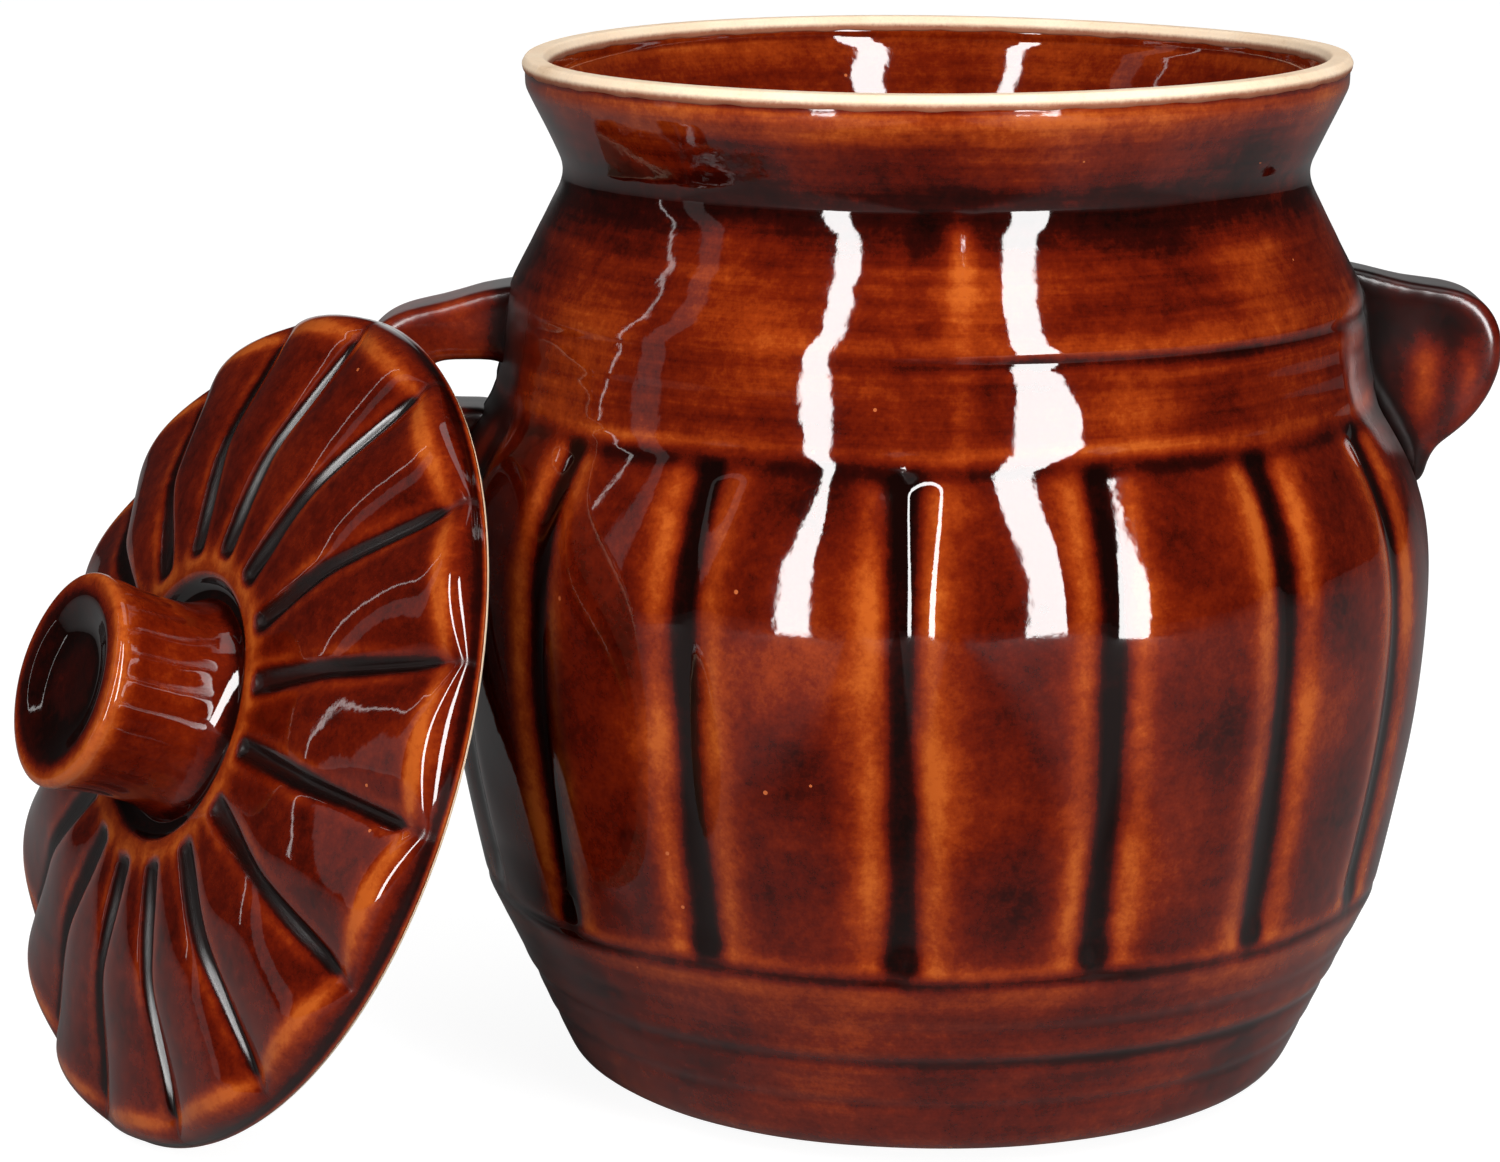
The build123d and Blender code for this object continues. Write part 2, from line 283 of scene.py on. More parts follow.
# Thin and dark patches on the closed ear as (radius, height, half width, half height, thinness)
EAR_PATCHES = [
    (104.6, 154.0, 3.4, 10.0, 0.58), (113.8, 157.5, 2.6, 6.5, 0.48), (109.6, 153.0, 2.0, 8.0, -0.08),
]

# Waves over a turned surface as (number round it, length up or out, size), and the seed of each set
WALL_WAVES = ([
    (3, 210, 0.16), (5, 130, 0.14), (8, 96, 0.11), (9, 58, 0.09),
    (11, 47, 0.075), (14, 71, 0.05), (19, 33, 0.02), (27, 24, 0.01),
], 12)
INSIDE_WAVES = ([(4, 60, 0.5), (7, 23, 0.3), (3, 9, 0.12)], 31)
GROOVE_WANDER = ([(3, 120, 0.35), (7, 60, 0.3), (11, 45, 0.25)], 21)
LEDGE_WAVES = ([(5, LEVEL, 0.35), (9, LEVEL, 0.3), (16, LEVEL, 0.25)], 8)
GROOVE_GLAZE_WAVES = ([(6, 50, 0.5), (10, 34, 0.4), (15, 70, 0.4)], 33)
BLOTCH_WAVES = ([(5, 75, 0.6), (9, 48, 0.6), (14, 90, 0.5), (13, 31, 0.4)], 41)
LIP_WAVES = ([(1, LEVEL, 1.0), (2, LEVEL, 1.1), (3, LEVEL, 0.9), (5, LEVEL, 0.6), (8, LEVEL, 0.35)], 5)
LIP_ROUGHNESS = ([(31, LEVEL, 0.12), (47, LEVEL, 0.1), (13, LEVEL, 0.15), (71, LEVEL, 0.06)], 14)
VALLEY_WANDER = ([(5, 60, 0.3), (9, 40, 0.25)], 6)
VALLEY_GLAZE_WAVES = ([(6, 30, 0.5), (11, 22, 0.4), (15, 41, 0.4)], 35)
PETAL_WAVES = ([(3, 90, 0.12), (5, 50, 0.12), (8, 37, 0.1), (13, 29, 0.07), (21, 19, 0.03)], 17)
KNOB_WAVES = ([(2, 60, 0.25), (3, 35, 0.16), (5, 28, 0.08), (4, 19, 0.05)], 23)


def rounded(corners, samples=9):
    """Points along a line of (radius, height, rounding) corners, with each corner rounded."""
    places = [np.array(corner[:2], float) for corner in corners]
    points = [places[0]]
    for before, here, after, corner in zip(places, places[1:], places[2:], corners[1:]):
        back, ahead = before - here, after - here
        back_length, ahead_length = np.linalg.norm(back), np.linalg.norm(ahead)
        back, ahead = back / back_length, ahead / ahead_length
        inside = np.arccos(np.clip(back @ ahead, -1, 1))
        cut = min(corner[2] / tan(max(inside / 2, 0.01)), 0.48 * back_length, 0.48 * ahead_length)
        start, end = here + cut * back, here + cut * ahead
        for t in np.linspace(0, 1, samples):
            points.append((1 - t) ** 2 * start + 2 * t * (1 - t) * here + t * t * end)
    points.append(places[-1])
    return np.array(points)


def smooth_curve(points, count=60):
    """Natural cubic curve through the points."""
    points = np.array(points, float)
    length = np.concatenate([[0], np.cumsum(np.linalg.norm(np.diff(points, axis=0), axis=1))])
    gap, last = np.diff(length), len(points) - 1
    system, right = np.eye(last + 1), np.zeros_like(points)
    for i in range(1, last):
        system[i, i - 1:i + 2] = gap[i - 1], 2 * (gap[i - 1] + gap[i]), gap[i]
        right[i] = 6 * ((points[i + 1] - points[i]) / gap[i] - (points[i] - points[i - 1]) / gap[i - 1])
    bend = np.linalg.solve(system, right)
    at = np.linspace(0, length[-1], count)
    i = np.clip(np.searchsorted(length, at, side="right") - 1, 0, last - 1)
    h, d, e = gap[i][:, None], (at - length[i])[:, None], (length[i + 1] - at)[:, None]
    return (
        bend[i] * e**3 / (6 * h) + bend[i + 1] * d**3 / (6 * h)
        + (points[i] / h - bend[i] * h / 6) * e + (points[i + 1] / h - bend[i + 1] * h / 6) * d
    )


def even(points, step):
    """The same line with evenly spaced points."""
    points = points[np.concatenate([[True], np.linalg.norm(np.diff(points, axis=0), axis=1) > 1e-6])]
    length = np.concatenate([[0], np.cumsum(np.linalg.norm(np.diff(points, axis=0), axis=1))])
    at = np.linspace(0, length[-1], int(length[-1] / step) + 2)
    return np.stack([np.interp(at, length, points[:, 0]), np.interp(at, length, points[:, 1])], axis=1)


def smooth_min(a, b, reach):
    """The smaller of two depths, blended where they are close."""
    return -reach * np.logaddexp(-a / reach, -b / reach)


def ramp(value, reach):
    """Nothing below 0, then rising one for one, with a soft start."""
    return reach * np.logaddexp(0, value / reach)


def step_up(value, low, high):
    """0 below low, 1 above high, and smooth between."""
    share = np.clip((value - low) / (high - low), 0, 1)
    return share * share * (3 - 2 * share)


def step_down(value, low, high):
    """1 below low, 0 above high, and smooth between."""
    return 1 - step_up(value, low, high)


def zone(value, start, end):
    """1 between a soft start and a soft end, each given as (from, to)."""
    return step_up(value, *start) * step_down(value, *end)


def bell(value, width, power=2):
    """1 at 0, falling off on both sides over the width, more steeply with a higher power."""
    return np.exp(-(np.abs(value / width) ** power))


def wrapped(angle):
    """The same angle between half a turn back and half a turn ahead."""
    return (angle + pi) % (2 * pi) - pi


def waves(angle, height, terms, seed):
    """Slow seeded waves round and up a turned wall, in the units of the terms' sizes."""
    random = np.random.default_rng(seed)
    total = np.zeros(np.broadcast(angle, height).shape)
    for around, length, size in terms:
        turn, rise = random.uniform(0, 2 * pi, 2)
        total = total + size * np.sin(around * angle + turn) * np.sin(2 * pi * height / length + rise)
    return total


def profile_normals(profile):
    """Outward direction at each point of a profile that runs with the solid on its left."""
    along = np.gradient(profile, axis=0)
    along /= np.linalg.norm(along, axis=1)[:, None]
    return np.stack([along[:, 1], -along[:, 0]], axis=1)


def blurred(grid, passes):
    """A grid of points after many small blurs, wrapped round its columns."""
    for _ in range(passes):
        grid = (np.roll(grid, 1, axis=1) + 2 * grid + np.roll(grid, -1, axis=1)) / 4
        padded = np.concatenate([grid[:1], grid, grid[-1:]])
        grid = (padded[:-2] + 2 * padded[1:-1] + padded[2:]) / 4
    return grid


def grid_pooling(grid, fine=8, broad=60):
    """How far each point of a grid lies below its surroundings, close by and further out, in millimetres."""
    round_step = np.roll(grid, -1, axis=1) - np.roll(grid, 1, axis=1)
    up_step = np.gradient(grid, axis=0)
    normal = np.cross(round_step, up_step)
    normal /= np.linalg.norm(normal, axis=2)[:, :, None] + 1e-9
    near = blurred(grid, fine)
    far = blurred(near, broad)
    return ((near - grid) * normal).sum(axis=2), ((far - grid) * normal).sum(axis=2)


def lathe(name, grid, closed=False):
    """Mesh object from rows of points round an axis; its ends run into a point, or each other if closed."""
    rows, columns = grid.shape[:2]
    if closed:
        rings = grid[:-1]
        poles = []
    else:
        rings = grid[1:-1]
        poles = [grid[0].mean(axis=0), grid[-1].mean(axis=0)]
    index = np.arange(len(rings) * columns).reshape(len(rings), columns)
    following = np.roll(index, -1, axis=1)
    low, high = (index, np.roll(index, -1, axis=0)) if closed else (index[:-1], index[1:])
    low_next, high_next = np.roll(low, -1, axis=1), np.roll(high, -1, axis=1)
    faces = np.stack([low, low_next, high_next, high], axis=-1).reshape(-1, 4).tolist()
    points = rings.reshape(-1, 3).tolist() + [pole.tolist() for pole in poles]
    if poles:
        first, last = len(points) - 2, len(points) - 1
        faces += [(first, b, a) for a, b in zip(index[0].tolist(), following[0].tolist())]
        faces += [(a, b, last) for a, b in zip(index[-1].tolist(), following[-1].tolist())]
    mesh = bpy.data.meshes.new(name)
    mesh.from_pydata([[value * MM for value in point] for point in points], [], faces)
    mesh.shade_smooth()
    piece = bpy.data.objects.new(name, mesh)
    bpy.context.scene.collection.objects.link(piece)
    return piece


def paint(piece, name, values):
    """Per-point value that the material reads, from a grid or a list."""
    mesh = piece.data
    values = np.asarray(values, float)
    if values.ndim == 2:
        rows = values[:-1] if values.size - len(mesh.vertices) == values.shape[1] else values[1:-1]
        flat = rows.reshape(-1)
        if len(mesh.vertices) > flat.size:
            flat = np.concatenate([flat, [values[0].mean(), values[-1].mean()]])
    else:
        flat = values
    layer = mesh.attributes.new(name, "FLOAT", "POINT")
    layer.data.foreach_set("value", flat.astype(np.float32))


def dress(piece, material, body, nodes):
    """Material, body and replaced nodes of a finished piece."""
    piece.data.materials.append(material)
    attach(piece, body)
    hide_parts(*nodes)
    return piece


# Material helpers
def make(tree, kind, inputs=None, **settings):
    """A node with its settings; its inputs are plain values or other nodes' sockets."""
    node = tree.nodes.new(kind)
    for key, value in settings.items():
        setattr(node, key, value)
    for key, value in (inputs or {}).items():
        if isinstance(value, bpy.types.NodeSocket):
            tree.links.new(value, node.inputs[key])
        else:
            node.inputs[key].default_value = value
    return node


def new_material(name):
    """A material, its node tree and its main shader."""
    material = bpy.data.materials.new(name)
    material.use_nodes = True
    return material, material.node_tree, material.node_tree.nodes["Principled BSDF"]


def calculate(tree, operation, a, b=0.0, clamp=False):
    return make(tree, "ShaderNodeMath", {0: a, 1: b}, operation=operation, use_clamp=clamp).outputs[0]


def centred(tree, texture, amount):
    """A texture from 0 to 1 turned into a shift to both sides of 0."""
    return calculate(tree, "MULTIPLY", calculate(tree, "SUBTRACT", texture, 0.5), amount)


def painted(tree, name):
    """A per-point value of the mesh."""
    return make(tree, "ShaderNodeAttribute", attribute_name=name).outputs["Fac"]


def mix_colours(tree, factor, first, second):
    inputs = {"Factor": factor, 6: first, 7: second}
    return make(tree, "ShaderNodeMix", inputs, data_type="RGBA").outputs[2]


def mix_values(tree, factor, first, second):
    return make(tree, "ShaderNodeMix", {"Factor": factor, 2: first, 3: second}).outputs[0]


def noise(tree, place, scale, detail=3.0, roughness=0.55, stretch=None):
    """Noise from 0 to 1 at so many features a metre, stretched by dividing the place."""
    if stretch:
        place = make(tree, "ShaderNodeMapping", {"Vector": place, "Scale": stretch}).outputs[0]
    inputs = {"Vector": place, "Scale": scale, "Detail": detail, "Roughness": roughness}
    return make(tree, "ShaderNodeTexNoise", inputs).outputs["Fac"]


def colour_ramp(tree, value, stops):
    node = make(tree, "ShaderNodeValToRGB", {"Fac": value})
    elements = node.color_ramp.elements
    while len(elements) < len(stops):
        elements.new(0.5)
    for element, (place, colour) in zip(elements, stops):
        element.position = place
        element.color = (*colour, 1.0)
    return node.outputs["Color"]


def glaze_depth(tree, place, mottle, grain):
    """How deep the glaze is: the painted depth, with clouds, grain and turned streaks."""
    value = painted(tree, "pooled")
    cloud, patch = noise(tree, place, *CLOUD), noise(tree, place, *PATCH)
    textures = ((cloud, CLOUD_SHIFT), (patch, PATCH_SHIFT), (mottle, MOTTLE_SHIFT), (grain, GRAIN_SHIFT))
    for texture, amount in textures:
        value = calculate(tree, "ADD", value, centred(tree, texture, amount))
    streaks = centred(tree, noise(tree, place, *STREAKS, stretch=STREAK_STRETCH), STREAK_SHIFT)
    streak_shift = calculate(tree, "MULTIPLY", streaks, painted(tree, "streaky"))
    return calculate(tree, "ADD", value, streak_shift, clamp=True)


def glaze_specks(tree, place):
    """1 in small scattered specks."""
    specks = make(tree, "ShaderNodeTexVoronoi", {"Vector": place, "Scale": SPECKS_PER_METRE})
    speck = calculate(tree, "LESS_THAN", specks.outputs["Distance"], SPECK_SIZE)
    chosen = calculate(tree, "GREATER_THAN", noise(tree, place, 40, 0), 0.6)
    return calculate(tree, "MULTIPLY", speck, chosen)


def glaze_material():
    """Brown glaze: amber where thin, red-brown on the walls and nearly black where it pools."""
    material, tree, shader = new_material("brown_glaze")
    place = make(tree, "ShaderNodeTexCoord").outputs["Object"]
    mottle, grain = noise(tree, place, *MOTTLE), noise(tree, place, *GRAIN)
    colour = colour_ramp(tree, glaze_depth(tree, place, mottle, grain), GLAZE_COLOURS)
    colour = mix_colours(tree, glaze_specks(tree, place), colour, SPECK_COLOUR)
    tree.links.new(colour, shader.inputs["Base Color"])
    gloss = calculate(tree, "ADD", calculate(tree, "MULTIPLY", mottle, 0.04), GLAZE_ROUGHNESS)
    gloss = calculate(tree, "ADD", gloss, painted(tree, "matt"))
    tree.links.new(gloss, shader.inputs["Roughness"])
    shader.inputs["IOR"].default_value = GLAZE_IOR
    skin = calculate(tree, "ADD", noise(tree, place, *SKIN), calculate(tree, "MULTIPLY", grain, 0.12))
    bump = make(tree, "ShaderNodeBump", {"Height": skin, "Strength": 0.25, "Distance": 0.00012})
    tree.links.new(bump.outputs[0], shader.inputs["Normal"])
    return material


def clay_material():
    """Bare cream clay, matt and grainy, stained brown where the glaze ends."""
    material, tree, shader = new_material("bare_clay")
    place = make(tree, "ShaderNodeTexCoord").outputs["Object"]
    grain = noise(tree, place, *CLAY_GRAIN)
    cloud = calculate(tree, "MULTIPLY", noise(tree, place, *CLAY_CLOUD), 0.6)
    value = calculate(tree, "ADD", cloud, calculate(tree, "MULTIPLY", grain, 0.5))
    edge = calculate(tree, "ADD", painted(tree, "stain"), centred(tree, grain, 0.9))
    edge = calculate(tree, "MULTIPLY", edge, 1.0, clamp=True)
    # The smooth minimum keeps a little clay in the darkest stain
    edge = calculate(tree, "SMOOTH_MIN", edge, 1.0)
    colour = mix_colours(tree, edge, colour_ramp(tree, value, CLAY_COLOURS), STAIN_COLOUR)
    tree.links.new(colour, shader.inputs["Base Color"])
    shader.inputs["Roughness"].default_value = CLAY_ROUGHNESS
    bump = make(tree, "ShaderNodeBump", {"Height": grain, "Strength": 0.5, "Distance": 0.0002})
    tree.links.new(bump.outputs[0], shader.inputs["Normal"])
    return material


def stand_round(radius, angle, height):
    """Points round the crock's axis; angle 0 is the front and the right is positive."""
    return np.stack([radius * np.sin(angle), -radius * np.cos(angle), height + 0 * angle], axis=-1)


def lid_frame():
    """The lid's centre, the directions across and up its face, and the way it faces."""
    azimuth, rise = radians(LID_AZIMUTH), radians(LID_RISE)
    facing = np.array([-sin(azimuth) * cos(rise), -cos(azimuth) * cos(rise), sin(rise)])
    across = np.cross([0, 0, 1], facing)
    across /= np.linalg.norm(across)
    return np.array(LID_CENTRE), across, np.cross(facing, across), facing


def lean_round(radius, angle, height):
    """Points round the lid's axis; angle 0 is across and a quarter turn is up its face."""
    centre, across, upward, facing = lid_frame()
    x, y, h = radius * np.cos(angle), radius * np.sin(angle), height + 0 * angle
    return centre + x[..., None] * across + y[..., None] * upward + h[..., None] * facing


def hollow_tone(tone, fine, broad):
    """Glaze depth from a piece's level and its hollows close by and further out."""
    level, fine_gain, broad_gain = tone
    return level + fine_gain * fine + broad_gain * broad


def lip_wave(angle):
    """How far the lip dips below its highest point, round the crock."""
    return LIP_DIP * (0.5 + 0.25 * waves(angle, 0 * angle, *LIP_WAVES)).clip(0, 1)


def lip_stain(height):
    """Glaze stain on the lower edge of the bare lip."""
    return LIP_STAIN * step_down(height, 222.2, 223.7)


def groove_place(angle, height, radius):
    """Distance round the wall from the nearest groove, positive on its right, and that groove's number."""
    pitch = 2 * pi / STAVES
    wander = waves(angle, height, *GROOVE_WANDER)
    amount, place, reach = (radians(value) for value in GROOVE_SWING)
    swing = amount * bell(wrapped(angle) - place, reach)
    turn = (angle + swing - radians(FIRST_GROOVE)) / pitch
    number = np.round(turn)
    return (turn - number) * pitch * radius + 0.5 * wander, (number % STAVES).astype(int)


def groove_forms():
    """Depth of each groove and the slopes of its left and right walls, uneven as by hand."""
    random = np.random.default_rng(GROOVE_SEED)
    deeper, steeper = GROOVE_SPREAD
    depth = GROOVE_DEPTH + random.uniform(-deeper, deeper, STAVES)
    left = GROOVE_SLOPE + random.uniform(-steeper, steeper, STAVES)
    right = GROOVE_SLOPE + random.uniform(-steeper, steeper, STAVES)
    for number, form in FRONT_GROOVES.items():
        depth[number], left[number], right[number] = form
    return depth, left, right


def stave_levels(angle, height):
    """The staves' lower and upper ends, and the height less the ends' waves round the crock."""
    return STAVE_POINTS[0][1], STAVE_POINTS[-1][1], height - waves(angle, height, *LEDGE_WAVES)


def crock_relief(angle, height, radius):
    """Depth of the grooves between the staves and of the staves' ends below the crock's outline."""
    aside, number = groove_place(angle, height, radius)
    full, left, right = (values[number] for values in groove_forms())
    slope = left + (right - left) * step_up(aside, -1.5, 1.5)
    low, high, level = stave_levels(angle, height)
    under = END_STEEPNESS[0] * (low + GROOVE_ENDS[0] - height)
    beyond = np.maximum(under, END_STEEPNESS[1] * (height - high + GROOVE_ENDS[1])).clip(0, None)
    off = np.sqrt(aside**2 + GROOVE_BOTTOM**2 + beyond**2)
    groove = slope * ramp(full / slope + GROOVE_BOTTOM - off, GROOVE_SOFTNESS)
    over = zone(height, (high, high + 1.5), (high + 5, high + 18)) * bell(aside - 2, 8)
    in_zone = zone(level, (low - 1.6, low + 0.8), (high - 2.2, high + 0.4))
    nick = LEDGE_NICK * bell(level - low + 0.2, 1.1)
    return LEDGE * in_zone + groove - RISE_OVER_GROOVE * over + nick + RELIEF_DEPTH


def groove_pooling(angle, height, radius):
    """Glaze pooled dark along the grooves and under the ledges, and thin beside and above them."""
    aside, _ = groove_place(angle, height, radius)
    low, high, level = stave_levels(angle, height)
    uneven = waves(angle, height, *GROOVE_GLAZE_WAVES)
    dark = GROOVE_DARK * bell(aside, 2.6 + 0.35 * uneven, 3)
    thin = (GROOVE_THIN + 0.1 * uneven) * bell(np.abs(aside) - 6.2, 2.6)
    middle = STAVE_DARK * step_up(np.abs(aside), 8, 14)
    along = zone(level, (low + 1, low + 4), (high - 4, high - 0.5))
    top = LEDGE_TONE * (bell(level - high + 2.6, 1.5) - bell(level - high - 0.6, 1.3))
    foot = LEDGE_TONE * bell(level - low + 0.6, 1.1) - 0.16 * bell(level - low - 2.6, 1.4)
    foot = foot - 0.14 * bell(level - low + 4.2, 2.0)
    dots = DOT_DARK * bell(np.hypot(aside / 3.6, (level - low - 3.6) / 3.4), 1, 3)
    blotch = BLOTCH_TONE * waves(angle, height, *BLOTCH_WAVES)
    return (dark - thin + middle) * along + top * (0.75 + 0.4 * uneven) + foot + dots + blotch


def line_fade(angle):
    """How strongly the turned lines show, round the crock."""
    return 0.55 + 0.45 * np.cos(2 * (angle - radians(35)))


def line_shift(angle, height, at):
    """Height above a turned line that wanders a little."""
    return height - at - 0.5 * np.sin(2 * angle + at)


def turned_lines(angle, height):
    """Depth of the turned lines, each with a low ridge above it."""
    fade = line_fade(angle) + 0.25 * np.sin(5 * angle)
    lines = 0
    for at, depth, width, steady, fading in TURNED_LINES:
        shift = line_shift(angle, height, at)
        form = bell(shift, width) - 0.35 * bell(shift - 2.2 * width, width)
        lines = lines + depth * (steady + fading * fade) * form
    return lines


def crock_lines(angle, height):
    """Depth of the turned lines and ripples, the mould seam and the wall's unevenness."""
    ripple = 0
    for length, size, seed in RIPPLES:
        ripple = ripple + size * np.sin(2 * pi * height / length + seed + 0.8 * np.sin(2 * angle + seed))
    ripple = ripple * (zone(height, (150, 158), (205, 213)) + 0.5 * step_down(height, 42, 50))
    aside = wrapped(angle - np.radians(SEAM_ANGLE + 0.6 * np.sin(height / 17))) * BELLY_RADIUS
    seam = 0.16 * bell(aside, 3.2) - 0.1 * bell(aside + 5.4, 2.6)
    seam = seam * zone(height, (150, 166), (196, 202))
    return turned_lines(angle, height) + ripple + seam + WALL_DEPTH + waves(angle, height, *WALL_WAVES)


def seam_pooling(angle, height):
    """Glaze thin along the mould seam, and deeper beside it on the shoulder."""
    aside = wrapped(angle - radians(SEAM_ANGLE)) * SHOULDER_RADIUS
    reach = zone(height, (60, 90), (196, 203)) * (0.5 + 1.2 * step_up(height, 175, 195))
    dark = SEAM_DARK * bell(aside + 12, 5.0) * step_up(height, 150, 165)
    return (dark - SEAM_THIN * bell(aside + 3.8, 3.0)) * reach


def line_pooling(angle, height):
    """Glaze pooled in the deeper turned lines, and thin above them."""
    total = 0
    for at, dark, width in DARK_LINES:
        shift = line_shift(angle, height, at)
        total = total + dark * line_fade(angle) * (bell(shift, width) - 0.5 * bell(shift - 3.0, 1.8))
    return total


def root_shade_and_matt(angle, height, radius):
    """Painted shade on the wall round the ears' roots, and duller glaze there."""
    middle, half_width, half_height, rounding = ROOT_PLACE
    dark = matt = 0
    for side, reach in ROOT_SHADE_REACH.items():
        turn = angle - side * pi / 2
        # Points on the far side of the crock are put out of reach
        across = np.abs(radius * np.sin(turn)) * np.where(np.cos(turn) > 0, 1, 9)
        upward = np.abs(height - middle)
        off = np.hypot(np.maximum(across - half_width, 0), np.maximum(upward - half_height, 0)) - rounding
        # Painted shade on the wall beside the ear
        dark = dark + ROOT_SHADE * bell(np.maximum(off, 0), reach, 3)
        matt = matt + ROOT_MATT * bell(np.maximum(off, 0), ROOT_MATT_REACH, 4)
    return dark, matt


def outside_pooling_and_shade(angle, height, radius):
    """Glaze depth added on the outside: staves, neck, collar, lip, foot, seam and lines; painted shade on the
    collar's lower part; and the wall darker towards the bottom, below the hoop.
    """
    # Pooled glaze in the neck's hollow, and painted shade on the downward-facing collar above it
    neck = bell(height - NECK_HEIGHT, 6.0) + 0.45 * zone(height, (NECK_HEIGHT, 206), (208, 218))
    bands = NECK_POOL_AND_COLLAR_SHADE * neck - COLLAR_THIN * step_up(height, *COLLAR) + LIP_DARK * step_up(height, *LIP_EDGE)
    bands = bands + HOOP_DARK * step_down(height, *HOOP_EDGE) - FOOT_THIN * bell(height - 4.6, 1.3)
    lines = seam_pooling(angle, height) + line_pooling(angle, height)
    return groove_pooling(angle, height, radius) + bands + lines


def angle_grid(columns, first=0.0):
    return first + np.linspace(0, 2 * pi, columns, endpoint=False)[None, :]


def crock_profile():
    """The crock's whole section: from under its foot up outside, over the lip and down to its floor."""
    return np.concatenate([
        rounded(BASE_CORNERS)[:-1], smooth_curve(STAVE_POINTS)[:-1], rounded(TOP_CORNERS)[:-1],
        smooth_curve(INNER_POINTS)[:-1], rounded(FLOOR_CORNERS),
    ])


def outer_radius(height):
    """The crock's outer radius at a height."""
    profile = crock_profile()
    top = int(np.argmax(profile[:, 1]))
    return np.interp(height, profile[2:top, 1], profile[2:top, 0])


def crock_sides(profile):
    """Which of the profile's points are outside above the foot, and which are inside."""
    # Among the points at the top, the first one counts as the highest
    order = np.arange(len(profile))
    peak = int(np.argmax(profile[:, 1] - 0.001 * order))
    outside = (order < peak)[:, None] & (profile[:, 1:] > FOOT_EDGE[0])
    return outside, (order > peak + 8)[:, None]


def build_crock(material):
    """The glazed wall, inside and out."""
    profile = even(crock_profile(), CROCK_STEP)
    normals = profile_normals(profile)
    angle = angle_grid(CROCK_COLUMNS, pi)
    radius, height = profile[:, :1], profile[:, 1:]
    outside, inside = crock_sides(profile)
    on_wall = outside * step_up(height, *FOOT_EDGE) * (1 - 0.75 * step_up(height, *COLLAR_RISE))
    depth = crock_relief(angle, height, radius) * outside + crock_lines(angle, height) * on_wall
    depth = depth + 0.3 * inside * waves(angle, height, *INSIDE_WAVES) * step_up(radius, 5, 40)
    new_radius = radius - depth * normals[:, :1]
    new_height = height - depth * normals[:, 1:] - step_up(height, *DIPPING_LIP) * lip_wave(angle)
    grid = stand_round(new_radius, angle, new_height)
    piece = lathe("crock_wall", grid)
    dark, matt = root_shade_and_matt(angle, new_height, new_radius)
    pooled = hollow_tone(CROCK_TONE, *grid_pooling(grid)) - MOUTH_THIN * inside * step_up(height, *MOUTH)
    # Painted shade round the ears' roots and on the collar goes into the glaze depth here
    pooled = pooled + (outside_pooling_and_shade(angle, height, radius) + dark) * outside
    paint(piece, "pooled", pooled.clip(0, 1))
    paint(piece, "matt", matt * outside)
    streaky = (step_up(height, 150, 160) + 0.5 * step_down(height, 40, 52)) * outside + 0.6 * inside + 0.12
    paint(piece, "streaky", streaky.clip(0, 1) + 0 * angle)
    return dress(piece, material, "pot", ["pot_body"])


def build_ring(name, corners, place, step, columns, material, slot, body, nodes, dip=None, stain=None):
    """A closed ring of the given section."""
    profile = even(rounded(corners), step)
    angle = angle_grid(columns)
    radius, height = profile[:, :1] + 0 * angle, profile[:, 1:] + 0 * angle
    stained = stain(height) if stain else 0 * height
    if dip is not None:
        rough = waves(angle, height, *LIP_ROUGHNESS) * step_down(height, 221.7, 223.2)
        height = height - dip(angle) + rough - LIP_DEPTH
    grid = place(radius, angle, height)
    piece = lathe(name, grid, closed=True)
    if slot == "brown_glaze":
        paint(piece, "pooled", hollow_tone(RING_TONE, *grid_pooling(grid)).clip(0, 1))
        paint(piece, "streaky", 0.1 + 0 * radius)
    else:
        paint(piece, "stain", stained)
    return dress(piece, material, body, nodes)


def build_foot(material):
    """The bare foot, a shallow disc that the crock stands on."""
    profile = even(rounded(FOOT_CORNERS), FOOT_STEP)
    angle = angle_grid(FOOT_COLUMNS)
    piece = lathe("crock_foot", stand_round(profile[:, :1], angle, profile[:, 1:]))
    paint(piece, "stain", 0.25 * step_up(profile[:, 1:], 0.8, FOOT_HEIGHT) + 0 * angle)
    return dress(piece, material, "pot", ["foot"])


def valley_place(angle, radius):
    """Distance to the side of the nearest valley line, and the valley's half width there."""
    pitch = 2 * pi / PETALS
    turn = (angle - radians(FIRST_VALLEY)) / pitch
    wander = waves(angle, radius, *VALLEY_WANDER)
    aside = np.abs((turn + 0.5) % 1 - 0.5) * pitch * radius + 0.6 * wander
    return np.maximum(aside, 0), VALLEY_HALF * (1 - 0.6 * np.clip((radius - 38) / 48, 0, 1))


def petal_share(aside, radius):
    """1 on a valley line, falling to 0 on the middle of a petal."""
    return np.clip(1 - aside / np.maximum(pi / PETALS * radius, 1), 0, 1)


def lid_relief(angle, radius):
    """Depth of the valleys between the lid's petals, below its outline."""
    aside, half = valley_place(angle, radius)
    off = np.hypot(aside, np.maximum(35.0 - radius, 0) * 1.5)
    crown = PETAL_CROWN * petal_share(aside, radius) ** 2.4 * zone(radius, (30, 45), (62, 84))
    wall = VALLEY_SLOPE * ramp(half - off, 0.35)
    valley = smooth_min(wall, VALLEY_FLOOR + 0 * wall, 0.2) * step_down(radius, 79.0, 86.5)
    return np.maximum(valley, 0) + crown


def lid_scallop(angle, radius, height):
    """How far the edge of the petals sinks from each petal's middle to the valley beside it."""
    aside, _ = valley_place(angle, radius)
    start, growth = SCALLOP_RISE
    reach = step_up(radius, 55, 85) * np.clip((height - start) / growth, 0, 1)
    return SCALLOP * petal_share(aside, radius) ** 2 * reach


